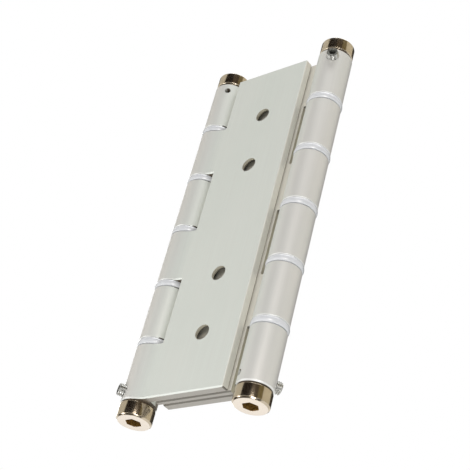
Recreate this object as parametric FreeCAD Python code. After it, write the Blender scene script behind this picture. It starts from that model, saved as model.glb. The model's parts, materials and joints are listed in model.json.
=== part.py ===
"""Double action spring hinge for a swing (cafe) door, in millimetres.

The hinge is shown closed. +Z runs up the two barrels, X goes across from the left barrel to the
right one, and the front leaf's mounting face looks along -Y. The origin is the middle of the whole
hinge. The rear leaf is the front leaf turned half way round about Z.
"""
import FreeCAD, Part
import math
import os

Vector = FreeCAD.Vector
UP = Vector(0, 0, 1)
ORIGIN = Vector(0, 0, 0)

# Barrels and knuckles
leaf_height = 155.0        # height of both leaves and of the centre plate
barrel_od = 14.0
barrel_bore = 10.0
barrel_spacing = 55.0      # between the two barrel axes
knuckle_pairs = 3          # knuckles of a leaf; the centre plate has as many on each barrel
knuckle_gap = 2.6          # room for a bush flange between two knuckles

# Leaves and centre plate
leaf_thickness = 3.7
web_thickness = 2.4
leaf_gap = 0.3             # air between a closed leaf and the centre plate
free_edge_clearance = 3.75  # between a leaf's free edge and the far barrel
notch_clearance = 1.8      # least air between a knuckle and the edge of a leaf's notch for it
web_notch_clearance = 2.8  # the same for the notches of the centre plate
root_land = 0.4            # least flat between a root fillet and the edge of a notch
outer_root_radius = 12.0   # long hollow fillet from the barrel into the mounting face
inner_root_radius = 1.0
web_root_radius = 1.5
free_edge_radius = 0.6
inner_edge_radius = 0.6
edge_break = 0.5           # chamfer round the sawn ends

# Countersunk screw holes, in a row half way between the barrels
hole_diameter = 6.4
countersink_depth = 2.55
hole_steps = (2, 1, -1, -2)  # heights in knuckle pitches, level with the flanges

# Nylon bushes
flange_lip = 0.3           # a flange stands this far out of the barrel
bush_side_play = 0.05
bush_edge_radius = 0.5
bush_sleeve_length = 4.0
bush_wall = 0.65
bush_radial_play = 0.05

# Adjusters: hexagon socket caps with a long shank that the spring hooks into
cap_inset = 0.15           # the cap is this much inside the barrel's outline
cap_height = 6.7
cap_chamfer = 0.6
cap_under_chamfer = 0.3    # at the neck
neck_height = 0.6
neck_undercut = 0.9
shank_play = 0.03
step_play = 1.0            # between the end of a bush and the shank's step
pivot_play = 0.1           # between the stepped-down shank and the first bush
pivot_reach = 8.0          # how far the shank goes into the second knuckle
hexagon_across_flats = 5.5
hexagon_depth = 6.5
drill_point_depth = 1.4
rod_bore_depth = 9.0
rod_bore_play = 0.15
tang_slot_play = 0.3
tang_end_play = 1.0

# Set screws that lock the adjusters, in cross-drilled end knuckles
screw_diameter = 5.0
screw_thread_play = 0.05
screw_length = 5.0
screw_point_diameter = 3.2
screw_chamfer = 0.3
screw_socket_flats = 2.5
screw_socket_depth = 2.4
pilot_diameter = 2.6       # pilot drill that comes out through the far wall
screw_from_end = 4.0       # from the end of the barrel to the screw's axis
screw_angle = 60.0         # from the X axis, round the barrel
lock_groove_play = 0.4     # beside the screw
lock_groove_depth = 0.95
screw_tip_play = 0.1

# Torsion spring of square wire and the rod that keeps it straight
wire_side = 1.6
coil_gap = 1.1
spring_play = 0.35         # between the coils and the bushes
spring_end_play = 1.2
tang_length = 4.0
rod_play = 0.55            # between the coils and the rod
rod_chamfer = 0.3
rod_end_play = 1.0

OVERSHOOT = 1.0            # how far a cutting tool runs past the face it opens
TINY = 1e-6

barrel_radius = barrel_od / 2
half_height = leaf_height / 2
half_spacing = barrel_spacing / 2
knuckle_count = 2 * knuckle_pairs
knuckle_length = (leaf_height - (knuckle_count - 1) * knuckle_gap) / knuckle_count
knuckle_pitch = knuckle_length + knuckle_gap
inner_face = web_thickness / 2 + leaf_gap
outer_face = inner_face + leaf_thickness
bush_outer = barrel_bore / 2 - bush_radial_play
bush_inner = bush_outer - bush_wall
cap_radius = barrel_radius - cap_inset
shank_radius = barrel_bore / 2 - shank_play
groove_radius = shank_radius - lock_groove_depth
pivot_radius = bush_inner - pivot_play
shank_end = half_height - knuckle_pitch - pivot_reach
screw_height = half_height - screw_from_end
spring_radius = bush_inner - spring_play
rod_radius = spring_radius - wire_side - rod_play
coil_pitch = wire_side + coil_gap

WEB_ROWS = range(0, knuckle_count, 2)
LEAF_ROWS = range(1, knuckle_count, 2)
SIDES = {"left": -1, "right": 1}
ENDS = {"upper": 1, "lower": -1}


def row_top(row):
    """Height of the upper end of knuckle number row, counted from 0 at the top."""
    return half_height - row * knuckle_pitch


def polar(radius, angle_deg):
    """Point in the XY plane at a radius and an angle from +X."""
    angle = math.radians(angle_deg)
    return Vector(radius * math.cos(angle), radius * math.sin(angle), 0)


def arc_about(centre, start, end, clockwise=False):
    """Arc from start to end round a centre, anticlockwise unless told otherwise."""
    radius = (start - centre).Length
    first = math.atan2(start.y - centre.y, start.x - centre.x)
    last = math.atan2(end.y - centre.y, end.x - centre.x)
    sweep = (last - first) % (2 * math.pi)
    if clockwise:
        sweep -= 2 * math.pi
    middle = centre + polar(radius, math.degrees(first + sweep / 2))
    return Part.Arc(start, middle, end).toShape()


def line(start, end):
    """Straight edge."""
    return Part.LineSegment(start, end).toShape()


def extrude_outline(edges, bottom, height):
    """Solid of a closed outline in the XY plane, standing from bottom up."""
    face = Part.Face(Part.Wire(edges))
    face.translate(Vector(0, 0, bottom))
    return face.extrude(Vector(0, 0, height))


def turn(points):
    """Solid turned about Z from a closed (radius, height) outline."""
    corners = [Vector(r, 0, z) for r, z in points]
    return Part.Face(Part.makePolygon(corners + corners[:1])).revolve(ORIGIN, UP, 360)


def hexagon(across_flats, depth, top):
    """Hexagonal prism with corners along X, hanging down from top."""
    corner_radius = across_flats / math.sqrt(3)
    corners = [polar(corner_radius, 60 * n) for n in range(6)]
    face = Part.Face(Part.makePolygon(corners + corners[:1]))
    face.translate(Vector(0, 0, top - depth))
    return face.extrude(Vector(0, 0, depth))


def barrel_bore_cutter(side):
    """Bore through a whole barrel; side is -1 for the left and 1 for the right."""
    foot = Vector(side * half_spacing, 0, -half_height - OVERSHOOT)
    return Part.makeCylinder(barrel_bore / 2, leaf_height + 2 * OVERSHOOT, foot, UP)


def cross_drill(side, end):
    """Tapped hole for the set screw, with its pilot drill through the far wall.

    side is the barrel, end is 1 for the top knuckle and -1 for the bottom one.
    """
    direction = screw_direction(side, end)
    middle = Vector(side * half_spacing, 0, end * screw_height)
    reach = barrel_radius + OVERSHOOT
    pilot = Part.makeCylinder(pilot_diameter / 2, 2 * reach, middle - direction * reach, direction)
    return pilot.fuse(Part.makeCylinder(screw_diameter / 2, reach, middle, direction))


def screw_direction(side, end):
    """Outward direction of a set screw: forward right at the top right, and turned about for the others."""
    return polar(1, -end * screw_angle) * side


def sawn_block(outline, top, height, joints):
    """Extruded block with chamfered sawn ends, left sharp where it joins another block at an x in joints."""
    block = extrude_outline(outline, top - height, height)
    edges = []
    for edge in block.Edges:
        box = edge.BoundBox
        at_joint = box.XLength < TINY and min(abs(box.XMin - x) for x in joints) < TINY
        if box.ZLength < TINY and not at_joint:
            edges.append(edge)
    return block.makeChamfer(edge_break, edges)


def root_centre(face, radius):
    """Centre of a root fillet, from the barrel axis, for a plate along +X with its face at a height in Y."""
    run = math.sqrt((barrel_radius + radius) ** 2 - (face + radius) ** 2)
    return Vector(run, face + radius, 0)


def notch_reach(clearance):
    """From a barrel axis to the edge of the notches beside it, clear of every root fillet."""
    roots = [
        root_centre(outer_face, outer_root_radius),
        root_centre(-inner_face, inner_root_radius),
        root_centre(web_thickness / 2, web_root_radius),
    ]
    return max([barrel_radius + clearance] + [root.x + root_land for root in roots])


def knuckle_outline(side, joint, faces, radii):
    """Section of a barrel with the start of its plate, out to the joint at the edge of the notches.

    side is the barrel, whose plate runs towards the middle. faces are the heights in Y of the plate's
    two faces, the lower one first, and radii their root fillets.
    """
    axis = Vector(side * half_spacing, 0, 0)
    centres, on_barrel, on_plate = [], [], []
    for sign, face, radius in zip((-1, 1), faces, radii):
        root = root_centre(sign * face, radius)
        centre = axis + Vector(-side * root.x, sign * root.y, 0)
        centres.append(centre)
        on_barrel.append(axis + (centre - axis).normalize() * barrel_radius)
        on_plate.append(Vector(centre.x, face, 0))
    return [
        arc_about(axis, on_barrel[1], on_barrel[0], clockwise=side > 0),
        arc_about(centres[0], on_barrel[0], on_plate[0], clockwise=side < 0),
        line(on_plate[0], Vector(joint, faces[0], 0)),
        line(Vector(joint, faces[0], 0), Vector(joint, faces[1], 0)),
        line(Vector(joint, faces[1], 0), on_plate[1]),
        arc_about(centres[1], on_plate[1], on_barrel[1], clockwise=side < 0),
    ]


def leaf_plate_outline(joint):
    """Section of the front leaf's plate, from the joint at the notches to the rounded free edge."""
    free_edge = half_spacing - barrel_radius - free_edge_clearance
    outer, inner = free_edge_radius, inner_edge_radius
    start = Vector(joint, -outer_face, 0)
    corners = [
        Vector(free_edge - outer, -outer_face, 0),
        Vector(free_edge, -outer_face + outer, 0),
        Vector(free_edge, -inner_face - inner, 0),
        Vector(free_edge - inner, -inner_face, 0),
        Vector(joint, -inner_face, 0),
    ]
    return [
        line(start, corners[0]),
        arc_about(Vector(free_edge - outer, -outer_face + outer, 0), corners[0], corners[1]),
        line(corners[1], corners[2]),
        arc_about(Vector(free_edge - inner, -inner_face - inner, 0), corners[2], corners[3]),
        line(corners[3], corners[4]),
        line(corners[4], start),
    ]


def screw_hole(height):
    """Through hole in the front leaf with its right-angled countersink on the hidden inner face."""
    backward = Vector(0, 1, 0)
    radius = hole_diameter / 2
    length = leaf_thickness + 2 * OVERSHOOT
    hole = Part.makeCylinder(radius, length, Vector(0, -outer_face - OVERSHOOT, height), backward)
    foot = Vector(0, -inner_face - countersink_depth, height)
    return hole.fuse(Part.makeCone(radius, radius + countersink_depth, countersink_depth, foot, backward))


def front_leaf():
    """Extruded leaf with every second knuckle of the left barrel."""
    joint = notch_reach(notch_clearance) - half_spacing
    leaf = sawn_block(leaf_plate_outline(joint), half_height, leaf_height, [joint])
    section = knuckle_outline(-1, joint, (-outer_face, -inner_face), (outer_root_radius, inner_root_radius))
    knuckles = [sawn_block(section, row_top(row), knuckle_length, [joint]) for row in LEAF_ROWS]
    leaf = leaf.fuse(knuckles)
    holes = [screw_hole(step * knuckle_pitch) for step in hole_steps]
    return leaf.removeSplitter().cut([barrel_bore_cutter(-1), cross_drill(-1, -1)] + holes)


def rear_leaf():
    """The same leaf turned about Z: it carries the right barrel's knuckles."""
    leaf = front_leaf()
    leaf.rotate(ORIGIN, UP, 180)
    return leaf


def centre_plate():
    """Extruded centre plate with the odd knuckles of both barrels."""
    joint = half_spacing - notch_reach(web_notch_clearance)
    half_web = web_thickness / 2
    section = [(-joint, -half_web), (joint, -half_web), (joint, half_web), (-joint, half_web)]
    corners = [Vector(x, y, 0) for x, y in section]
    sides = [line(start, end) for start, end in zip(corners, corners[1:] + corners[:1])]
    web = sawn_block(sides, half_height, leaf_height, [joint, -joint])
    for side in (1, -1):
        faces, radii = (-half_web, half_web), (web_root_radius, web_root_radius)
        section = knuckle_outline(side, side * joint, faces, radii)
        knuckles = [sawn_block(section, row_top(row), knuckle_length, [side * joint]) for row in WEB_ROWS]
        web = web.fuse(knuckles)
    web = web.removeSplitter().cut([barrel_bore_cutter(1), barrel_bore_cutter(-1)])
    return web.cut([cross_drill(1, 1), cross_drill(-1, 1)])


def bush(side, row):
    """Nylon bush under knuckle row: a flange between two knuckles and a sleeve into both bores."""
    flange = knuckle_gap - 2 * bush_side_play
    middle = row_top(row) - knuckle_length - knuckle_gap / 2
    reach = knuckle_gap / 2 + bush_sleeve_length
    cut_reach = reach + OVERSHOOT
    body = Part.makeCylinder(barrel_radius + flange_lip, flange, Vector(0, 0, -flange / 2), UP)
    body = body.makeFillet(bush_edge_radius, [edge for edge in body.Edges if edge.BoundBox.ZLength < TINY])
    body = body.fuse(Part.makeCylinder(bush_outer, 2 * reach, Vector(0, 0, -reach), UP)).removeSplitter()
    body = body.cut(Part.makeCylinder(bush_inner, 2 * cut_reach, Vector(0, 0, -cut_reach), UP))
    body.translate(Vector(side * half_spacing, 0, middle))
    return body


def adjuster_outline():
    """Half section of an upper adjuster from the top of its cap down to the end of its shank."""
    cap_top = half_height + cap_height
    neck_top = half_height + neck_height
    neck = cap_radius - neck_undercut
    groove_half = screw_diameter / 2 + lock_groove_play
    step = half_height - knuckle_length + bush_sleeve_length + step_play
    return [
        (0, cap_top),
        (cap_radius - cap_chamfer, cap_top),
        (cap_radius, cap_top - cap_chamfer),
        (cap_radius, neck_top + cap_under_chamfer),
        (cap_radius - cap_under_chamfer, neck_top),
        (neck, neck_top),
        (neck, half_height),
        (shank_radius, half_height),
        (shank_radius, screw_height + groove_half),
        (groove_radius, screw_height + groove_half),
        (groove_radius, screw_height - groove_half),
        (shank_radius, screw_height - groove_half),
        (shank_radius, step),
        (pivot_radius, step),
        (pivot_radius, shank_end),
        (0, shank_end),
    ]


def adjuster(side, end):
    """Spring adjuster: key socket in the cap, rod bore and tang slot in the other end."""
    cap_top = half_height + cap_height
    drill_tip = Vector(0, 0, cap_top - hexagon_depth - drill_point_depth)
    drill_point = Part.makeCone(0, hexagon_across_flats / 2, drill_point_depth, drill_tip, UP)
    below = shank_end - OVERSHOOT
    bore_height = rod_bore_depth + OVERSHOOT
    rod_bore = Part.makeCylinder(rod_radius + rod_bore_play, bore_height, Vector(0, 0, below), UP)
    slot_width = wire_side + 2 * tang_slot_play
    slot_height = tang_length + tang_end_play + OVERSHOOT
    corner = Vector(0, -slot_width / 2, below)
    slot = Part.makeBox(pivot_radius + OVERSHOOT, slot_width, slot_height, corner)
    socket = hexagon(hexagon_across_flats, hexagon_depth, cap_top)
    body = turn(adjuster_outline()).cut([socket, drill_point, rod_bore, slot])
    if end < 0:
        body.rotate(ORIGIN, Vector(1, 0, 0), 180)
    body.translate(Vector(side * half_spacing, 0, 0))
    return body


def set_screw(side, end):
    """Hexagon socket set screw, its tip just off the adjuster's lock groove."""
    radius = screw_diameter / 2 - screw_thread_play
    point = screw_point_diameter / 2
    body = turn([
        (0, 0),
        (point, 0),
        (radius, radius - point),
        (radius, screw_length - screw_chamfer),
        (radius - screw_chamfer, screw_length),
        (0, screw_length),
    ])
    body = body.cut(hexagon(screw_socket_flats, screw_socket_depth, screw_length))
    direction = screw_direction(side, end)
    tip = Vector(side * half_spacing, 0, end * screw_height) + direction * (groove_radius + screw_tip_play)
    body.Placement = FreeCAD.Placement(tip, FreeCAD.Rotation(UP, direction))
    return body


def guide_rod(side):
    """Steel rod through the spring, with both ends in the adjusters."""
    half = shank_end + rod_bore_depth - rod_end_play
    body = turn([
        (0, -half),
        (rod_radius - rod_chamfer, -half),
        (rod_radius, -half + rod_chamfer),
        (rod_radius, half - rod_chamfer),
        (rod_radius - rod_chamfer, half),
        (0, half),
    ])
    body.translate(Vector(side * half_spacing, 0, 0))
    return body


def torsion_spring(side):
    """Torsion spring of square wire; a straight tang at each end stands in an adjuster's slot."""
    half = wire_side / 2
    mean_radius = spring_radius - half
    turns = math.floor(2 * (shank_end - spring_end_play - half) / coil_pitch)
    end_coil = turns * coil_pitch / 2
    path = Part.makeHelix(coil_pitch, 2 * end_coil, mean_radius)
    path.translate(Vector(0, 0, -end_coil))
    section = [(-half, -half), (half, -half), (half, half), (-half, half)]
    corners = [Vector(mean_radius + x, 0, z - end_coil) for x, z in section]
    coils = Part.Wire(path.Edges).makePipeShell([Part.makePolygon(corners + corners[:1])], True, True)
    tang_height = shank_end + tang_length - end_coil + half
    corner = Vector(mean_radius - half, -half, end_coil - half)
    tang = Part.makeBox(wire_side, wire_side, tang_height, corner)
    body = coils.fuse([tang, tang.rotated(ORIGIN, Vector(1, 0, 0), 180)])
    body.translate(Vector(side * half_spacing, 0, 0))
    return body


def all_pieces():
    """Every piece of the hinge by node name."""
    pieces = {"front_leaf": front_leaf(), "centre_plate": centre_plate(), "rear_leaf": rear_leaf()}
    for side_name, side in SIDES.items():
        for row in range(knuckle_count - 1):
            pieces[f"{side_name}_bush_{row + 1}"] = bush(side, row)
        for end_name, end in ENDS.items():
            pieces[f"{end_name}_{side_name}_adjuster"] = adjuster(side, end)
            pieces[f"{end_name}_{side_name}_set_screw"] = set_screw(side, end)
        pieces[f"{side_name}_guide_rod"] = guide_rod(side)
        pieces[f"{side_name}_torsion_spring"] = torsion_spring(side)
    return pieces


os.makedirs("parts", exist_ok=True)
for name, shape in all_pieces().items():
    shape.exportStep(f"parts/{name}.step")
    print(f"{name}: {len(shape.Solids)} solid, valid {shape.isValid()}, {shape.Volume:.1f} mm3")
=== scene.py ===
# %% [markdown]
# A double action hinge for a swing door: two aluminium leaves on one centre plate, with a sprung barrel on either
# side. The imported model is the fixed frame. Its leaves and its plate already have the right shape, so they stay and
# get a finish. The small turned and moulded pieces are built again as smooth surfaces, and each one rides on the
# body that carries it, so the hinge can open.

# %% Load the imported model
import json
import math

import bpy
import numpy as np
from mathutils import Matrix, Vector

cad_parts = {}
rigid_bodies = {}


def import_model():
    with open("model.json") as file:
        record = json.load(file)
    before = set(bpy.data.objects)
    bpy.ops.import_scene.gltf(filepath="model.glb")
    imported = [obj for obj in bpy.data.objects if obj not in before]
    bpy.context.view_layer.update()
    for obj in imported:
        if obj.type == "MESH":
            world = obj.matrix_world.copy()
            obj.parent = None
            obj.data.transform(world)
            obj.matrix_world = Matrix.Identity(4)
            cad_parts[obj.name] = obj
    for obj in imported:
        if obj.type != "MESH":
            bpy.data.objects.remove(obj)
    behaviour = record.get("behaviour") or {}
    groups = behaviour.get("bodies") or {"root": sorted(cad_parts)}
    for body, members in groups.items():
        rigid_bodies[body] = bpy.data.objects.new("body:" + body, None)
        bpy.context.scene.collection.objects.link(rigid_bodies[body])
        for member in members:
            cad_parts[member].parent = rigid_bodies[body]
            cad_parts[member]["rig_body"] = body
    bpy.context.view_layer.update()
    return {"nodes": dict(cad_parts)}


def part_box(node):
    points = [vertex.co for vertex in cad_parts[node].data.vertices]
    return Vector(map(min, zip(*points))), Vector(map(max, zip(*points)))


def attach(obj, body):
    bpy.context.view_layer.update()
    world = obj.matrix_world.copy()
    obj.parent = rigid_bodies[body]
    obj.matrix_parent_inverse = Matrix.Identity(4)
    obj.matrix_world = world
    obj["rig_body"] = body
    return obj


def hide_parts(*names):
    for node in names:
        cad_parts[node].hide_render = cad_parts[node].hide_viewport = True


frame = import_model()
nodes = frame["nodes"]
MM = 0.001
HAIR = 0.02 * MM  # keeps two rings or two surfaces apart
SIDES = ("left", "right")
BARREL_ENDS = [(side, end) for side in SIDES for end in ("upper", "lower")]

# %% [markdown]
# Sizes come from the frame where the frame has them: the barrel axes from the boxes of the bushes, the ends of the
# barrels from a leaf, the caps from the adjusters. The rest are sizes of stock parts, such as a key socket of 5.5 mm
# across flats and M5 set screws.

# %% Sizes and places
bush_low, bush_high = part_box("right_bush_1")
cap_low, cap_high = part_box("upper_right_adjuster")
AXIS_X = {side: sum(corner.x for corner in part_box(f"{side}_bush_1")) / 2 for side in SIDES}
BARREL_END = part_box("front_leaf")[1].z
FLANGE_RADIUS = (bush_high.x - bush_low.x) / 2
CAP_RADIUS = (cap_high.x - cap_low.x) / 2
CAP_TOP = cap_high.z
SHANK_END = cap_low.z
KNUCKLE_PITCH = bush_low.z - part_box("right_bush_2")[0].z
print(f"barrel axes {(AXIS_X['right'] - AXIS_X['left']) / MM:.1f} mm apart, caps {2 * CAP_RADIUS / MM:.1f} mm across")


# %% [markdown]
# A turned piece is a profile carried round an axis. Here every ring of the profile is one row of a grid. The same
# grid also takes a ring that is a hexagon, for a key socket, or one whose radius changes round the turn, for a
# thread, so one function makes every small piece of this hinge.

# %% Surfaces made of rings
def ring_angles(count):
    """count angles evenly round a turn; a multiple of six puts one on every corner of a hexagon."""
    return np.arange(count) * (2 * math.pi / count)


def hexagon_radius(angles, across_flats):
    """Distance from the middle to a hexagon: half its width over the cosine of the angle from the nearest flat."""
    return across_flats / 2 / np.cos(np.mod(angles, math.pi / 3) - math.pi / 6)


def rings(radii, heights, angles):
    """Ring i at angle a is (radius[i, a] * cos a, radius[i, a] * sin a, height[i])."""
    radii = np.asarray(radii, float) * np.ones((len(radii), len(angles)))
    heights = np.asarray(heights, float)[:, None] * np.ones_like(radii)
    return np.stack([radii * np.cos(angles), radii * np.sin(angles), heights], axis=-1)


def softened(profile, radius, steps=5):
    """Rounds the corners of a profile of (radius, height) points.

    Each corner becomes a quadratic curve from one side to the other. It starts at the rounding radius from the
    corner, or at 0.45 of the shorter side if that is less, and the corner is its control point.
    """
    profile = np.asarray(profile, float)
    before, corner, after = profile[:-2, None], profile[1:-1, None], profile[2:, None]
    shorter = np.minimum(np.linalg.norm(before - corner, axis=-1), np.linalg.norm(after - corner, axis=-1))
    reach = np.minimum(radius, 0.45 * shorter)[..., None]
    start = corner + (before - corner) * reach / np.linalg.norm(before - corner, axis=-1, keepdims=True)
    end = corner + (after - corner) * reach / np.linalg.norm(after - corner, axis=-1, keepdims=True)
    turn = np.linspace(0, 1, steps)[None, :, None]
    curve = start * (1 - turn) ** 2 + 2 * corner * turn * (1 - turn) + end * turn ** 2
    return np.concatenate([profile[:1], curve.reshape(-1, 2), profile[-1:]])


def ring_mesh(name, points, closed_section=False):
    """Quads between neighbouring rings.

    A closed section joins its last ring to its first; else both ends get a face.
    """
    rows, columns = points.shape[:2]
    row = np.arange(rows if closed_section else rows - 1)[:, None]
    column = np.arange(columns)[None, :]
    here, beside = row * columns + column, row * columns + (column + 1) % columns
    above, above_beside = (here + columns) % (rows * columns), (beside + columns) % (rows * columns)
    faces = np.stack([here, beside, above_beside, above], axis=-1).reshape(-1, 4).tolist()
    if not closed_section:
        faces.append(list(range(columns))[::-1])
        faces.append(list(range((rows - 1) * columns, rows * columns)))
    mesh = bpy.data.meshes.new(name)
    mesh.from_pydata(points.reshape(-1, 3), [], faces)
    return mesh


def place(mesh, matrix):
    """Moves the points themselves, so that the object stays at the origin; a mirrored mesh has its faces turned."""
    mesh.transform(matrix)
    if matrix.determinant() < 0:
        mesh.flip_normals()
    return mesh


def show(mesh, node, smooth_below=35):
    """Puts the mesh in the scene for a node: it rides on the node's body and takes its place."""
    mesh.polygons.foreach_set("use_smooth", np.ones(len(mesh.polygons), bool))
    mesh.set_sharp_from_angle(angle=math.radians(smooth_below))
    mesh.update()
    piece = bpy.data.objects.new(mesh.name, mesh)
    bpy.context.scene.collection.objects.link(piece)
    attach(piece, nodes[node]["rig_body"])
    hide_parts(node)
    return piece


# %% [markdown]
# The bushes are moulded nylon: a sleeve in both bores and a flange that fills the gap between two knuckles. Each
# could be two cylinders, but the real flange is a soft pillow, a little fuller in the middle than at its edges, so
# the section of the wall is drawn and then carried round the barrel's axis.

# %% Nylon bushes
SLEEVE_RADIUS = 4.95 * MM
SLEEVE_BORE = 4.3 * MM
FLANGE_HALF = 1.25 * MM
FLANGE_CROWN = 0.3 * MM
MOULD_ROUNDING = 0.5 * MM
BUSH_ROWS = range(1, 6)
RIM_POINTS, BUSH_STEPS = 9, 144


def bush(side, row):
    """The flange's rim falls off from its middle by the crown times (height / half thickness) squared."""
    low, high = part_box(f"{side}_bush_{row}")
    reach = (high.z - low.z) / 2
    rim_heights = np.linspace(FLANGE_HALF, -FLANGE_HALF, RIM_POINTS)
    rim = FLANGE_RADIUS - FLANGE_CROWN * (rim_heights / FLANGE_HALF) ** 2
    section = [(SLEEVE_BORE, 0), (SLEEVE_BORE, reach), (SLEEVE_RADIUS, reach), (SLEEVE_RADIUS, FLANGE_HALF)]
    section += list(zip(rim, rim_heights))
    section += [(SLEEVE_RADIUS, -FLANGE_HALF), (SLEEVE_RADIUS, -reach), (SLEEVE_BORE, -reach), (SLEEVE_BORE, 0)]
    section = softened(section, MOULD_ROUNDING)[:0:-1]
    points = rings(section[:, :1], section[:, 1], ring_angles(BUSH_STEPS))
    mesh = ring_mesh(f"{side}_flanged_bush_{row}", points, closed_section=True)
    return place(mesh, Matrix.Translation((AXIS_X[side], 0, (low.z + high.z) / 2)))


bushes = [show(bush(side, row), f"{side}_bush_{row}") for side in SIDES for row in BUSH_ROWS]
print(len(bushes), "bushes of", len(bushes[0].data.polygons), "faces")

# %% [markdown]
# The adjusters are turned bars with a key socket in the cap. Seen from outside a cap is a plain drum with a small
# chamfer, a dark neck under it and a hexagon in its face. The whole bar is one profile: down the socket, over the
# cap, along the shank and into the rod bore. The slot for the spring's end is cut with a boolean.

# %% Adjusters
CAP_CHAMFER, CAP_UNDER_CHAMFER = 0.6 * MM, 0.3 * MM
NECK_HEIGHT, NECK_UNDERCUT = 0.6 * MM, 0.9 * MM
SHANK_RADIUS, PIVOT_RADIUS, GROOVE_RADIUS = 4.97 * MM, 4.2 * MM, 4.02 * MM
PIVOT_TOP = BARREL_END - 18.667 * MM
SCREW_HEIGHT = BARREL_END - 4 * MM
GROOVE_HALF = 2.9 * MM
KEY_FLATS, KEY_DEPTH, KEY_CHAMFER, DRILL_POINT = 5.5 * MM, 6.5 * MM, 0.1 * MM, 1.4 * MM
ROD_BORE_RADIUS, ROD_BORE_DEPTH = 1.95 * MM, 9 * MM
TANG_SLOT_WIDTH, TANG_SLOT_HEIGHT = 2.2 * MM, 5 * MM
TURNED_ROUNDING = 0.09 * MM
ADJUSTER_STEPS = 192


def adjuster(side, end):
    """Rings from the bottom of the socket over the cap to the bottom of the rod bore, all round one axis.

    Rings of the socket's wall are hexagons, and a slightly larger hexagon breaks the edge of its mouth.
    """
    angles = ring_angles(ADJUSTER_STEPS)
    key = hexagon_radius(angles, KEY_FLATS)
    key_bottom = CAP_TOP - KEY_DEPTH
    mouth = key + KEY_CHAMFER
    round_ring = np.ones_like(angles)
    socket_rows = [HAIR * round_ring, KEY_FLATS / 2 * round_ring, key, key, mouth]
    socket_heights = [key_bottom - DRILL_POINT, key_bottom, key_bottom + HAIR / 2, CAP_TOP - KEY_CHAMFER, CAP_TOP]
    outside = softened([
        (KEY_FLATS / math.sqrt(3) + 1.2 * KEY_CHAMFER, CAP_TOP),
        (CAP_RADIUS - CAP_CHAMFER, CAP_TOP),
        (CAP_RADIUS, CAP_TOP - CAP_CHAMFER),
        (CAP_RADIUS, BARREL_END + NECK_HEIGHT + CAP_UNDER_CHAMFER),
        (CAP_RADIUS - CAP_UNDER_CHAMFER, BARREL_END + NECK_HEIGHT),
        (CAP_RADIUS - NECK_UNDERCUT, BARREL_END + NECK_HEIGHT),
        (CAP_RADIUS - NECK_UNDERCUT, BARREL_END),
        (SHANK_RADIUS, BARREL_END),
        (SHANK_RADIUS, SCREW_HEIGHT + GROOVE_HALF),
        (GROOVE_RADIUS, SCREW_HEIGHT + GROOVE_HALF),
        (GROOVE_RADIUS, SCREW_HEIGHT - GROOVE_HALF),
        (SHANK_RADIUS, SCREW_HEIGHT - GROOVE_HALF),
        (SHANK_RADIUS, PIVOT_TOP),
        (PIVOT_RADIUS, PIVOT_TOP),
        (PIVOT_RADIUS, SHANK_END),
        (ROD_BORE_RADIUS, SHANK_END),
        (ROD_BORE_RADIUS, SHANK_END + ROD_BORE_DEPTH),
    ], TURNED_ROUNDING)
    radii = np.concatenate([socket_rows, outside[:, :1] * round_ring])
    heights = np.concatenate([socket_heights, outside[:, 1]])
    mesh = ring_mesh(f"{end}_{side}_spring_adjuster", rings(radii, heights, angles)[::-1])
    cut_tang_slot(mesh)
    upside_down = Matrix.Rotation(math.pi, 4, "X") if end == "lower" else Matrix.Identity(4)
    return place(mesh, Matrix.Translation((AXIS_X[side], 0, 0)) @ upside_down)


def cut_tang_slot(mesh):
    """Takes a box out of the shank's end, from the bore out through the wall."""
    half, top, outer = TANG_SLOT_WIDTH / 2, SHANK_END + TANG_SLOT_HEIGHT, PIVOT_RADIUS + MM
    corners = [(x, y, z) for x in (0, outer) for y in (-half, half) for z in (SHANK_END - MM, top)]
    sides = [(0, 1, 3, 2), (4, 6, 7, 5), (0, 4, 5, 1), (2, 3, 7, 6), (0, 2, 6, 4), (1, 5, 7, 3)]
    cutter_mesh = bpy.data.meshes.new("slot_cutter")
    cutter_mesh.from_pydata(corners, [], sides)
    cutter = bpy.data.objects.new("slot_cutter", cutter_mesh)
    blank = bpy.data.objects.new("adjuster_blank", mesh)
    for item in (cutter, blank):
        bpy.context.scene.collection.objects.link(item)
    cut = blank.modifiers.new("slot", "BOOLEAN")
    cut.operation, cut.solver, cut.object = "DIFFERENCE", "EXACT", cutter
    bpy.context.view_layer.update()
    result = bpy.data.meshes.new_from_object(blank.evaluated_get(bpy.context.evaluated_depsgraph_get()))
    count = len(result.vertices)
    points = np.empty(3 * count)
    result.vertices.foreach_get("co", points)
    mesh.clear_geometry()
    mesh.from_pydata(points.reshape(-1, 3), [], [list(face.vertices) for face in result.polygons])
    for item in (cutter, blank):
        bpy.data.objects.remove(item)
    bpy.data.meshes.remove(cutter_mesh)
    bpy.data.meshes.remove(result)


adjusters = [show(adjuster(side, end), f"{end}_{side}_adjuster") for side, end in BARREL_ENDS]
print(len(adjusters), "adjusters of", len(adjusters[0].data.polygons), "faces")

# %% [markdown]
# A set screw goes through each end knuckle and locks the adjuster behind it. It has a thread, a little shallower
# than a real one: the radius of every ring changes round the turn, so the crest climbs by one pitch each turn. The
# socket for a 2.5 mm key goes into the outer end.

# %% Set screws
SCREW_RADIUS, SCREW_LENGTH, SCREW_PITCH = 2.45 * MM, 5 * MM, 0.8 * MM
THREAD_DEPTH, ROOT_SHARE, FLANK_SHARE = 0.22 * MM, 0.2, 0.65
SCREW_STEPS, SCREW_RINGS = 96, 105
SCREW_POINT_RADIUS, SCREW_CHAMFER = 1.6 * MM, 0.3 * MM
SCREW_KEY_FLATS, SCREW_KEY_DEPTH, SCREW_KEY_CHAMFER, SCREW_DRILL_POINT = 2.5 * MM, 2.4 * MM, 0.1 * MM, 0.5 * MM
SCREW_TIP = GROOVE_RADIUS + 0.1 * MM
SCREW_ANGLE = math.radians(60)


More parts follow.
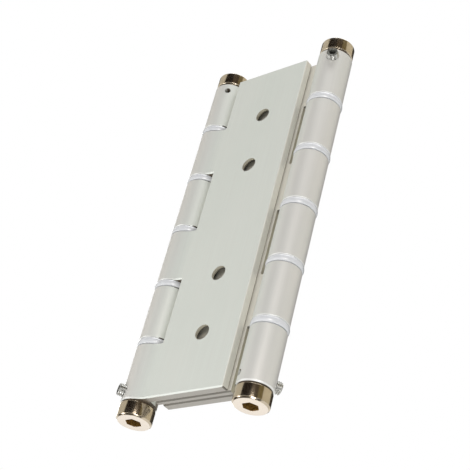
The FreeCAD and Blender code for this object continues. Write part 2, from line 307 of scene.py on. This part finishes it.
def screw_line(side, end):
    """The inner end of a set screw and the direction it points in."""
    right, up = 1 if side == "right" else -1, 1 if end == "upper" else -1
    outwards = Vector((right * math.cos(SCREW_ANGLE), -right * up * math.sin(SCREW_ANGLE), 0))
    return Vector((AXIS_X[side], 0, up * SCREW_HEIGHT)) + outwards * SCREW_TIP, outwards


def set_screw(side, end):
    """Threaded surface: radius = root + depth * trapezoid((height / pitch - angle / turn) mod 1).

    The trapezoid is 1 on the crest, 0 in the root and straight between them. The cones at both ends cut it off.
    """
    angles = ring_angles(SCREW_STEPS)
    heights = np.linspace(0, SCREW_LENGTH, SCREW_RINGS)
    phase = np.mod(heights[:, None] / SCREW_PITCH - angles / (2 * math.pi), 1)
    flank = np.clip((np.abs(2 * phase - 1) - ROOT_SHARE) / FLANK_SHARE, 0, 1)
    thread = SCREW_RADIUS - THREAD_DEPTH + THREAD_DEPTH * flank
    point_cone = SCREW_POINT_RADIUS + heights[:, None]
    end_cone = SCREW_RADIUS - SCREW_CHAMFER + (SCREW_LENGTH - heights[:, None])
    outside = np.minimum(thread, np.minimum(point_cone, end_cone))
    key = hexagon_radius(angles, SCREW_KEY_FLATS)
    mouth = np.maximum(key, SCREW_KEY_FLATS / math.sqrt(3) + HAIR)
    inside = [mouth, key, key, HAIR * np.ones_like(angles)]
    inside_heights = [SCREW_LENGTH, SCREW_LENGTH - SCREW_KEY_CHAMFER, SCREW_LENGTH - SCREW_KEY_DEPTH,
                      SCREW_LENGTH - SCREW_KEY_DEPTH - SCREW_DRILL_POINT]
    points = rings(np.concatenate([outside, inside]), np.concatenate([heights, inside_heights]), angles)
    mesh = ring_mesh(f"{end}_{side}_threaded_set_screw", points)
    tip, outwards = screw_line(side, end)
    turn = outwards.to_track_quat("Z", "Y").to_matrix().to_4x4()
    return place(mesh, Matrix.Translation(tip) @ turn)


set_screws = [show(set_screw(side, end), f"{end}_{side}_set_screw") for side, end in BARREL_ENDS]
for piece, (side, end) in zip(set_screws, BARREL_ENDS):
    low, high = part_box(f"{end}_{side}_set_screw")
    corners = np.array([piece.matrix_world @ Vector(corner) for corner in piece.bound_box])
    off = np.abs([corners.min(0) - low, corners.max(0) - high]).max()
    print(end, side, "set screw off by", round(off / MM, 2), "mm")


# %% [markdown]
# Materials come next. Each one is named for the real finish. One small function adds a node with its settings and
# links, so a material reads as a list of what happens to the surface.

# %% Helpers for colours and material nodes
def linear(hex_colour):
    """sRGB hex to linear: each channel c becomes c / 12.92 up to 0.04045, else ((c + 0.055) / 1.055) ** 2.4."""
    srgb = np.array([int(hex_colour[i:i + 2], 16) for i in (1, 3, 5)]) / 255
    rgb = np.where(srgb <= 0.04045, srgb / 12.92, ((srgb + 0.055) / 1.055) ** 2.4)
    return (*rgb, 1.0)


def add(tree, kind, **settings):
    """Adds a node. A setting with a socket's name, or in_0, in_1 and so on, sets or links it; else a property.

    A whole node given as a value stands for the first of its outputs that is in use.
    """
    node = tree.nodes.new("ShaderNode" + kind)
    for name, value in settings.items():
        if hasattr(node, name):
            setattr(node, name, value)
            continue
        socket = node.inputs[int(name[3:])] if name.startswith("in_") else node.inputs[name.replace("_", " ")]
        if isinstance(value, bpy.types.Node):
            value = next(output for output in value.outputs if output.enabled)
        if isinstance(value, bpy.types.NodeSocket):
            tree.links.new(value, socket)
        else:
            socket.default_value = value
    return node


def new_material(name, **settings):
    """A material with a Principled surface, its constants set; returns it with its tree and the shader."""
    material = bpy.data.materials.new(name)
    material.use_nodes = True
    shader = material.node_tree.nodes["Principled BSDF"]
    for label, value in settings.items():
        shader.inputs[label.replace("_", " ")].default_value = value
    return material, material.node_tree, shader


# %% [markdown]
# The leaves and the plate are extruded aluminium with a satin, silver anodised finish. The etch before anodising
# leaves an even frosty grain, the die leaves faint lines along the extrusion, which runs up the hinge, and the saw
# leaves the ends a little darker and rougher than the faces. Grain and lines are noise on object coordinates, with
# sizes in millimetres. Ends, narrow edges, walls of notches and holes are found by their place in the piece and by
# the way they face there, so they keep their tone however far the hinge is open. Much of that tone is painted light
# and shade: a lighter tone on the narrow edges and the centre plate, a painted highlight on the barrels' broken
# edges, a painted reflection of the caps on the ends beside them, and painted shade next to the caps, in the gaps,
# slits and corners and down the screw holes.

# %% Satin anodised aluminium
# Where one tone gives way to another: out from the middle of the hinge,
PLATES_REACH = 19.6 * MM
CAP_SHADE_FROM, CAP_SHADE_FULL = 19 * MM, 20.8 * MM
BARREL_FROM, BARREL_FULL = 22 * MM, 28 * MM
CORNER_FULL, CORNER_END = 21 * MM, 23.5 * MM
# forwards and back from the middle of the centre plate,
WEB_REACH, GAP_REACH = 1.6 * MM, 4.6 * MM
# and round the axis of a screw hole.
HOLE_REACH, CONE_FROM, CONE_FULL = 6 * MM, 4.5 * MM, 5.4 * MM


def satin_anodised_aluminium():
    """Grain of 0.25 mm and die lines of 0.4 mm, drawn coarser than the real ones so that they show."""
    material, tree, shader = new_material("satin_anodised_aluminium", Metallic=0.42, Specular_IOR_Level=0.6)
    spot = add(tree, "TexCoord").outputs["Object"]
    where = add(tree, "SeparateXYZ", Vector=spot).outputs
    facing = add(tree, "SeparateXYZ", Vector=add(tree, "TexCoord").outputs["Normal"]).outputs
    from_middle, from_front, up_or_down = (add(tree, "Math", operation="ABSOLUTE", in_0=where[axis]) for axis in "XYZ")
    sideways, upright = (add(tree, "Math", operation="ABSOLUTE", in_0=facing[axis]) for axis in "XZ")
    grain = add(tree, "TexNoise", Vector=spot, Scale=1 / (0.25 * MM), Detail=2.0)
    drawn_out = add(tree, "Mapping", Vector=spot, Scale=(1, 1, 0.01))
    lines = add(tree, "TexNoise", Vector=drawn_out, Scale=1 / (0.4 * MM), Detail=3.0)
    tall = add(tree, "Mapping", Vector=spot, Scale=(1, 1, 0.35))
    clouds = add(tree, "TexNoise", Vector=tall, Scale=1 / (16 * MM), Detail=3.0)

    # Flat faces are a cool silver; the barrels are warmer. The narrow edges and the centre plate get a lighter, warmer
    # tone, which is painted light.
    on_barrel = add(tree, "MapRange", Value=from_middle, From_Min=BARREL_FROM, From_Max=BARREL_FULL)
    flat = add(tree, "Mix", data_type="RGBA", in_0=clouds, in_6=linear("#CED4CE"), in_7=linear("#D4D7D2"))
    turned = add(tree, "Mix", data_type="RGBA", in_0=clouds, in_6=linear("#C7C9C5"), in_7=linear("#D0CDC9"))
    edge_on = add(tree, "MapRange", Value=sideways, From_Min=0.6, From_Max=0.9)
    plate_between = add(tree, "Math", operation="LESS_THAN", in_0=from_front, in_1=WEB_REACH)
    on_plates = add(tree, "Math", operation="LESS_THAN", in_0=from_middle, in_1=PLATES_REACH)
    either = add(tree, "Math", operation="MAXIMUM", in_0=edge_on, in_1=plate_between)
    narrow = add(tree, "Math", operation="MULTIPLY", in_0=either, in_1=on_plates)
    # Painted light: the narrow edges and the centre plate are made lighter than the faces.
    plates = add(tree, "Mix", data_type="RGBA", in_0=narrow, in_6=flat, in_7=linear("#DEDCD3"))
    silver = add(tree, "Mix", data_type="RGBA", in_0=on_barrel, in_6=plates, in_7=turned)
    streaks = add(tree, "MapRange", Value=lines, From_Min=0.3, From_Max=0.7, To_Max=0.14)
    streaked = add(tree, "Mix", data_type="RGBA", in_0=streaks, in_6=silver, in_7=linear("#BDB9B6"))

    # Sawn ends are darker than the faces. On the barrels and next to them, where the caps stand over them, the ends
    # get painted shade and a painted brown reflection of the caps. The broken edges in the narrow gaps between the
    # plates get painted shade, darkest next to the caps, and the broken edges of the barrels get a painted highlight.
    sawn = add(tree, "MapRange", Value=upright, From_Min=0.75, From_Max=0.97)
    cap_shade_reach = add(tree, "MapRange", Value=from_middle, From_Min=CAP_SHADE_FROM, From_Max=CAP_SHADE_FULL)
    # Painted shade and a painted reflection of the caps on the ends beside them.
    sawn_tone_and_cap_shade = add(tree, "Mix", data_type="RGBA", in_0=cap_shade_reach, in_6=linear("#9C9993"), in_7=linear("#6A6053"))
    ends = add(tree, "Mix", data_type="RGBA", in_0=sawn, in_6=streaked, in_7=sawn_tone_and_cap_shade)
    tilted = add(tree, "MapRange", Value=upright, From_Min=0.5, From_Max=0.65)
    not_level = add(tree, "MapRange", Value=upright, From_Min=0.78, From_Max=0.9, To_Min=1.0, To_Max=0.0)
    broken_edge = add(tree, "Math", operation="MULTIPLY", in_0=tilted, in_1=not_level)
    inner = add(tree, "Math", operation="LESS_THAN", in_0=from_front, in_1=GAP_REACH)
    in_gap = add(tree, "Math", operation="SUBTRACT", in_0=inner, in_1=on_barrel, use_clamp=True)
    # Painted shade on the broken edges in the gaps between the plates.
    painted_gap_edge_shade = add(tree, "Math", operation="MULTIPLY", in_0=broken_edge, in_1=in_gap)
    # Painted highlight on the broken edges of the barrels.
    painted_rim_highlight = add(tree, "Math", operation="MULTIPLY", in_0=broken_edge, in_1=on_barrel)
    gap_edge_shade_tone = add(tree, "Mix", data_type="RGBA", in_0=cap_shade_reach, in_6=linear("#6E6B64"), in_7=linear("#453E33"))
    edges = add(tree, "Mix", data_type="RGBA", in_0=painted_gap_edge_shade, in_6=ends, in_7=gap_edge_shade_tone)
    edges = add(tree, "Mix", data_type="RGBA", in_0=painted_rim_highlight, in_6=edges, in_7=linear("#DADBD9"))

    # The walls of the notches in the centre plate face the barrels across a narrow slit, and get a warm grey that is
    # painted shade. The side of a barrel that looks back into the corner between it and the plates gets a darker
    # painted shade.
    wall = add(tree, "Math", operation="MULTIPLY", in_0=edge_on, in_1=plate_between)
    painted_slit_shade = add(tree, "Math", operation="MULTIPLY", in_0=wall, in_1=on_plates)
    notched = add(tree, "Mix", data_type="RGBA", in_0=painted_slit_shade, in_6=edges, in_7=linear("#C2BDAB"))
    looks_back = add(tree, "MapRange", Value=facing["Y"], From_Min=0.15, From_Max=0.4)
    near_corner = add(tree, "MapRange", Value=from_middle, From_Min=CORNER_FULL, From_Max=CORNER_END,
                      To_Min=1, To_Max=0)
    back_side = add(tree, "Math", operation="MULTIPLY", in_0=looks_back, in_1=near_corner)
    # Painted shade on the side of a barrel in the corner by the plates.
    corner = add(tree, "Math", operation="MULTIPLY", in_0=back_side, in_1=edge_on)
    notched = add(tree, "Mix", data_type="RGBA", in_0=corner, in_6=notched, in_7=linear("#75695A"))

    # The screw holes are drilled and countersunk, and get painted shade: a tan wall and a dark cone, darkest at the
    # cone's wide end. The holes lie half a pitch either side of 1.5 pitches up or down, so two absolute values fold
    # all four onto one, and the cone is what lies past the hole's radius and is tilted.
    pair = add(tree, "Math", operation="SUBTRACT", in_0=up_or_down, in_1=1.5 * KNUCKLE_PITCH)
    to_pair = add(tree, "Math", operation="ABSOLUTE", in_0=pair)
    to_hole = add(tree, "Math", operation="SUBTRACT", in_0=to_pair, in_1=0.5 * KNUCKLE_PITCH)
    across = add(tree, "CombineXYZ", X=where["X"], Y=to_hole)
    radius = add(tree, "VectorMath", operation="LENGTH", in_0=across)
    near_hole = add(tree, "Math", operation="LESS_THAN", in_0=radius, in_1=HOLE_REACH)
    front_or_back = add(tree, "Math", operation="ABSOLUTE", in_0=facing["Y"])
    not_flat = add(tree, "Math", operation="LESS_THAN", in_0=front_or_back, in_1=0.9)
    cut = add(tree, "Math", operation="MULTIPLY", in_0=near_hole, in_1=not_flat)
    past_wall = add(tree, "MapRange", Value=radius, From_Min=CONE_FROM, From_Max=CONE_FULL)
    # Painted shade: the wall is tan, and the cone grows darker towards its wide end.
    painted_hole_shade = add(tree, "Mix", data_type="RGBA", in_0=past_wall, in_6=linear("#B9B5A4"), in_7=linear("#4A443A"))
    surface = add(tree, "Mix", data_type="RGBA", in_0=cut, in_6=notched, in_7=painted_hole_shade)
    tree.links.new(surface.outputs[2], shader.inputs["Base Color"])

    even = add(tree, "MapRange", Value=grain, To_Min=0.42, To_Max=0.52)
    rough = add(tree, "Math", operation="MULTIPLY_ADD", in_0=sawn, in_1=0.08, in_2=even)
    tree.links.new(rough.outputs[0], shader.inputs["Roughness"])
    frost = add(tree, "Bump", Height=grain, Distance=0.004 * MM, Strength=0.6)
    die = add(tree, "Bump", Height=lines, Distance=0.004 * MM, Strength=0.5, Normal=frost)
    tree.links.new(die.outputs["Normal"], shader.inputs["Normal"])
    return material


# %% [markdown]
# Natural nylon is milky: light goes in and comes out again near by, so it is never dark, and its moulded skin has a
# soft gloss. Subsurface scattering of under a millimetre does that, with a faint cloudiness.

# %% Natural nylon
def natural_nylon():
    """Scattering radius 0.8 mm; clouds of 3 mm in the colour and a fine moulded texture of 0.3 mm."""
    material, tree, shader = new_material("natural_nylon", IOR=1.53, Specular_IOR_Level=0.9, Subsurface_Weight=0.6,
                                          Subsurface_Scale=0.8 * MM, Subsurface_Radius=(1, 1, 1))
    spot = add(tree, "TexCoord").outputs["Object"]
    clouds = add(tree, "TexNoise", Vector=spot, Scale=1 / (3 * MM), Detail=2.0)
    skin = add(tree, "TexNoise", Vector=spot, Scale=1 / (0.3 * MM), Detail=2.0)
    milk = add(tree, "Mix", data_type="RGBA", in_0=clouds, in_6=linear("#B9BBBE"), in_7=linear("#C6C8CB"))
    tree.links.new(milk.outputs[2], shader.inputs["Base Color"])
    rough = add(tree, "MapRange", Value=skin, To_Min=0.20, To_Max=0.30)
    tree.links.new(rough.outputs["Result"], shader.inputs["Roughness"])
    bump = add(tree, "Bump", Height=skin, Distance=0.01 * MM, Strength=0.3)
    tree.links.new(bump.outputs["Normal"], shader.inputs["Normal"])
    return material


# %% [markdown]
# The adjusters are turned steel with a thin yellow plating, between brass and nickel in colour. The tool leaves
# fine rings, so the gloss is drawn out round the drum, and plating is never quite even in colour.

# %% Yellow plated turned steel
def yellow_plated_steel():
    """Turning rings of 0.12 mm in the bump and the roughness, clouds of 2.5 mm in the colour."""
    material, tree, shader = new_material("yellow_plated_steel", Metallic=1.0)
    spot = add(tree, "TexCoord").outputs["Object"]
    flattened = add(tree, "Mapping", Vector=spot, Scale=(0.02, 0.02, 1))
    rings_of_tool = add(tree, "TexNoise", Vector=flattened, Scale=1 / (0.12 * MM), Detail=2.0)
    clouds = add(tree, "TexNoise", Vector=spot, Scale=1 / (2.5 * MM), Detail=3.0)
    plating = add(tree, "Mix", data_type="RGBA", in_0=clouds, in_6=linear("#C8BBA4"), in_7=linear("#D9CCB8"))
    facing = add(tree, "SeparateXYZ", Vector=add(tree, "NewGeometry").outputs["Normal"]).outputs
    upright = add(tree, "Math", operation="ABSOLUTE", in_0=facing["Z"])
    faced = add(tree, "MapRange", Value=upright, From_Min=0.8, From_Max=0.95)
    pale = add(tree, "Mix", data_type="RGBA", in_0=faced, in_6=plating, in_7=linear("#D8CEC2"))
    tree.links.new(pale.outputs[2], shader.inputs["Base Color"])
    rough = add(tree, "MapRange", Value=rings_of_tool, To_Min=0.10, To_Max=0.22)
    tree.links.new(rough.outputs["Result"], shader.inputs["Roughness"])
    bump = add(tree, "Bump", Height=rings_of_tool, Distance=0.003 * MM, Strength=0.4)
    tree.links.new(bump.outputs["Normal"], shader.inputs["Normal"])
    return material


# %% [markdown]
# The set screws, springs and rods are plain steel: bright zinc on the screws, and a dull oiled skin on the spring
# wire and the rods, which only show when the hinge is taken apart.

# %% Zinc plated screws and oiled spring steel
def bare_steel(name, dark, light, smooth, rough):
    """Steel between two greys, with drawn marks of 0.2 mm and clouds of 1.5 mm."""
    material, tree, shader = new_material(name, Metallic=1.0)
    spot = add(tree, "TexCoord").outputs["Object"]
    marks = add(tree, "TexNoise", Vector=spot, Scale=1 / (0.2 * MM), Detail=3.0)
    clouds = add(tree, "TexNoise", Vector=spot, Scale=1 / (1.5 * MM), Detail=2.0)
    grey = add(tree, "Mix", data_type="RGBA", in_0=clouds, in_6=linear(dark), in_7=linear(light))
    tree.links.new(grey.outputs[2], shader.inputs["Base Color"])
    gloss = add(tree, "MapRange", Value=marks, To_Min=smooth, To_Max=rough)
    tree.links.new(gloss.outputs["Result"], shader.inputs["Roughness"])
    bump = add(tree, "Bump", Height=marks, Distance=0.004 * MM, Strength=0.3)
    tree.links.new(bump.outputs["Normal"], shader.inputs["Normal"])
    return material


# %% [markdown]
# Inside a key socket the plating is thin and dull, and what light goes in stays in. So the faces of each socket get
# a darker material of their own, partly the dull plating and partly painted shade. They are the faces near the
# socket's axis and under its mouth.

# %% Dull sockets with painted shade
def dull_and_shaded_socket(name, dark, light):
    """Mostly diffuse, between two dark tones, with clouds of 0.5 mm."""
    material, tree, shader = new_material(name, Metallic=0.3)
    clouds = add(tree, "TexNoise", Vector=add(tree, "TexCoord").outputs["Object"], Scale=1 / (0.5 * MM), Detail=2.0)
    contrast = add(tree, "MapRange", Value=clouds, From_Min=0.35, From_Max=0.65)
    tone = add(tree, "Mix", data_type="RGBA", in_0=contrast, in_6=linear(dark), in_7=linear(light))
    tree.links.new(tone.outputs[2], shader.inputs["Base Color"])
    rough = add(tree, "MapRange", Value=clouds, To_Min=0.35, To_Max=0.5)
    tree.links.new(rough.outputs["Result"], shader.inputs["Roughness"])
    return material


def line_socket(piece, mouth, outwards, reach, depth, material):
    """Faces whose centres are within the reach of the axis, and between the mouth and the depth, get the material."""
    mesh = piece.data
    centres = np.empty(3 * len(mesh.polygons))
    mesh.polygons.foreach_get("center", centres)
    from_mouth = centres.reshape(-1, 3) - np.array(mouth)
    height = from_mouth @ np.array(outwards)
    radius = np.linalg.norm(from_mouth - height[:, None] * np.array(outwards), axis=1)
    inside = (radius < reach) & (height < -HAIR) & (height > -depth)
    mesh.materials.append(material)
    mesh.polygons.foreach_set("material_index", inside.astype(np.int32))
    return int(inside.sum())


aluminium, nylon, plated = satin_anodised_aluminium(), natural_nylon(), yellow_plated_steel()
zinc = bare_steel("zinc_plated_screw_steel", "#A4A4A0", "#DEDEDA", 0.24, 0.34)
oiled = bare_steel("oiled_spring_steel", "#5C5A55", "#77746D", 0.3, 0.45)


def finish(piece, material):
    """Makes the material the piece's only one."""
    piece.data.materials.clear()
    piece.data.materials.append(material)


for pieces, material in ((bushes, nylon), (adjusters, plated), (set_screws, zinc)):
    for piece in pieces:
        finish(piece, material)
# The socket materials are dull plating darkened with painted shade.
brown_socket = dull_and_shaded_socket("dull_plating_in_key_socket", "#4C3612", "#8C6A32")
black_socket = dull_and_shaded_socket("dark_oxide_in_screw_socket", "#20201E", "#777770")
BELOW_SOCKET, ABOVE_SCREW, SCREW_LINING = 0.1 * MM, 0.05 * MM, 2.2 * MM
lined = 0
for cap, screw, (side, end) in zip(adjusters, set_screws, BARREL_ENDS):
    up = 1 if end == "upper" else -1
    tip, outwards = screw_line(side, end)
    lined += line_socket(cap, (AXIS_X[side], 0, up * CAP_TOP), (0, 0, up), KEY_FLATS / math.sqrt(3) + HAIR,
                         KEY_DEPTH + DRILL_POINT + BELOW_SOCKET, brown_socket)
    lined += line_socket(screw, tip + outwards * (SCREW_LENGTH + ABOVE_SCREW), outwards, SCREW_LINING,
                         SCREW_KEY_DEPTH + SCREW_DRILL_POINT + BELOW_SOCKET, black_socket)
print(lined, "faces line the sockets")
FINISHES = {"leaf": aluminium, "plate": aluminium, "bush": nylon, "adjuster": plated, "set_screw": zinc,
            "spring": oiled, "rod": oiled}
for name, node in nodes.items():
    finish(node, next(material for word, material in FINISHES.items() if word in name))
print("finishes:", ", ".join(material.name for material in (aluminium, nylon, plated, zinc, oiled)))

# %% [markdown]
# The room is white to the camera and to anything that mirrors it, and a little darker as a light, so that shade
# can show. A pale floor lies far below, where it doesn't block the low camera. Cards stand round the hinge where the
# turned caps mirror them: plain bands from dark to pale are what make polished metal look like metal. One more is
# behind the hinge, and one below it.

# %% Room, floor and cards
world = bpy.data.worlds.new("white_room")
bpy.context.scene.world = world
world.use_nodes = True
tree = world.node_tree
tree.nodes.clear()
ray = add(tree, "LightPath").outputs
camera_or_gloss = add(tree, "Math", operation="MAXIMUM", in_0=ray["Is Camera Ray"], in_1=ray["Is Glossy Ray"])
sees_white = add(tree, "Math", operation="MAXIMUM", in_0=camera_or_gloss, in_1=ray["Is Transmission Ray"])
as_light = add(tree, "Background", Color=linear("#FFFFFF"), Strength=0.8)
as_seen = add(tree, "Background", Color=linear("#FFFFFF"), Strength=1.0)
room = add(tree, "MixShader", in_0=sees_white, in_1=as_light, in_2=as_seen)
add(tree, "OutputWorld", Surface=room)

FLOOR_HEIGHT, FLOOR_REACH = -620 * MM, 2.5


def staged(mesh, colour):
    """A matt sheet that isn't part of the hinge."""
    sheet = bpy.data.objects.new(mesh.name, mesh)
    bpy.context.scene.collection.objects.link(sheet)
    material, _, _ = new_material(mesh.name, Base_Color=linear(colour), Roughness=0.8, Specular_IOR_Level=0.2)
    mesh.materials.append(material)
    return sheet


floor_mesh = bpy.data.meshes.new("pale_floor")
floor_corners = [(x * FLOOR_REACH, y * FLOOR_REACH, FLOOR_HEIGHT) for x, y in ((-1, -1), (1, -1), (1, 1), (-1, 1))]
floor_mesh.from_pydata(floor_corners, [], [(0, 1, 2, 3)])
staged(floor_mesh, "#F2F1EE")


def direction(azimuth, elevation):
    """Unit vector: azimuth 0 looks to the front, -Y, and turns towards +X; elevation is up from level."""
    return Vector((math.sin(azimuth) * math.cos(elevation), -math.cos(azimuth) * math.cos(elevation),
                   math.sin(elevation)))


CARD_STEPS = 25


def card(name, first, last, low, high, distance, colour):
    """A band of card bent round the hinge between two azimuths, from a low to a high elevation, in degrees.

    Point (i, j) is distance * direction(azimuth i, elevation j), with evenly spaced azimuths and the two elevations.
    """
    azimuths = np.radians(np.linspace(first, last, CARD_STEPS))[:, None]
    elevations = np.radians([low, high])[None, :]
    points = distance * np.stack(np.broadcast_arrays(
        np.sin(azimuths) * np.cos(elevations), -np.cos(azimuths) * np.cos(elevations), np.sin(elevations)), axis=-1)
    index = np.arange(2 * CARD_STEPS).reshape(-1, 2)
    faces = np.stack([index[:-1, 0], index[1:, 0], index[1:, 1], index[:-1, 1]], axis=-1)
    mesh = bpy.data.meshes.new(name)
    mesh.from_pydata(points.reshape(-1, 3), [], faces.tolist())
    sheet = staged(mesh, colour)
    sheet.visible_camera = sheet.visible_diffuse = sheet.visible_shadow = False


RING_LOW, RING_HIGH, RING_DISTANCE = 10, 56, 1.5
RING = (("pale_card_left", -100, -34, "#D2CFC6"), ("dark_card", -34, 26, "#1C130B"),
        ("brown_card", 26, 66, "#4C4132"), ("olive_card", 66, 96, "#7B704F"),
        ("pale_card_right", 96, 160, "#D5CFBE"))
for name, first, last, colour in RING:
    card(name, first, last, RING_LOW, RING_HIGH, RING_DISTANCE, colour)
card("grey_card_behind", 152, 262, 8, 48, RING_DISTANCE, "#3E3A34")
card("dark_card_below", -100, 110, -85, -24, 0.7, "#4A453E")
print(len(RING) + 2, "cards")

# %% [markdown]
# The lamps are soft boxes. One is high in front, for the broad light along the barrels. Two low ones and a level one
# light the faces and the ends that the camera sees from below. The last two stand behind, for the back and its ends.

# %% Lamps
def soft_box(name, azimuth, elevation, distance, width, height, power, colour="#FFFFFF"):
    """A rectangular lamp in the given direction, turned to the hinge, its width level.

    Angles are in degrees, lengths in metres, power in watts.
    """
    lamp = bpy.data.lights.new(name, "AREA")
    lamp.shape, lamp.size, lamp.size_y, lamp.energy = "RECTANGLE", width, height, power
    lamp.color = linear(colour)[:3]
    lamp_object = bpy.data.objects.new(name, lamp)
    bpy.context.scene.collection.objects.link(lamp_object)
    towards = direction(math.radians(azimuth), math.radians(elevation))
    lamp_object.location = towards * distance
    lamp_object.rotation_mode = "QUATERNION"
    lamp_object.rotation_quaternion = towards.to_track_quat("Z", "Y")
    lamp_object.visible_camera = False


soft_box("high_box", 45, 72, 1.2, 1.0, 0.3, 5)
soft_box("low_left_box", -46, -38, 0.6, 0.2, 0.2, 0.7)
soft_box("low_right_box", 50, -56, 0.6, 0.22, 0.22, 1.3)
soft_box("fill_box", 36, 5, 0.9, 0.25, 0.25, 1.75, "#FFF8F2")
soft_box("end_box", 225, -30, 1.0, 0.5, 0.4, 0.26)
soft_box("back_box", 238, 25, 1.0, 0.5, 0.5, 3.0)

# %% [markdown]
# The camera looks up at the hinge from low in front and to the right, with a long lens, and is rolled a little.
# Its place was worked out from points whose places on the hinge are known.

# %% Camera
AZIMUTH, ELEVATION, ROLL = math.radians(45.67), math.radians(-32.97), math.radians(15.40)
CAMERA_DISTANCE = 496.6 * MM
AIM = Vector((-2.87, 0.67, -3.88)) * MM
FOCAL_LENGTH = 97.2
backwards = direction(AZIMUTH, ELEVATION)
camera = bpy.data.objects.new("camera", bpy.data.cameras.new("camera"))
bpy.context.scene.collection.objects.link(camera)
camera.data.lens = FOCAL_LENGTH
camera.data.clip_start = 0.01
camera.location = AIM + backwards * CAMERA_DISTANCE
camera.rotation_mode = "QUATERNION"
upright_view = (-backwards).to_track_quat("-Z", "Y")
camera.rotation_quaternion = upright_view @ Matrix.Rotation(ROLL, 3, "Z").to_quaternion()
bpy.context.scene.camera = camera
bpy.context.scene.view_settings.view_transform = "Standard"
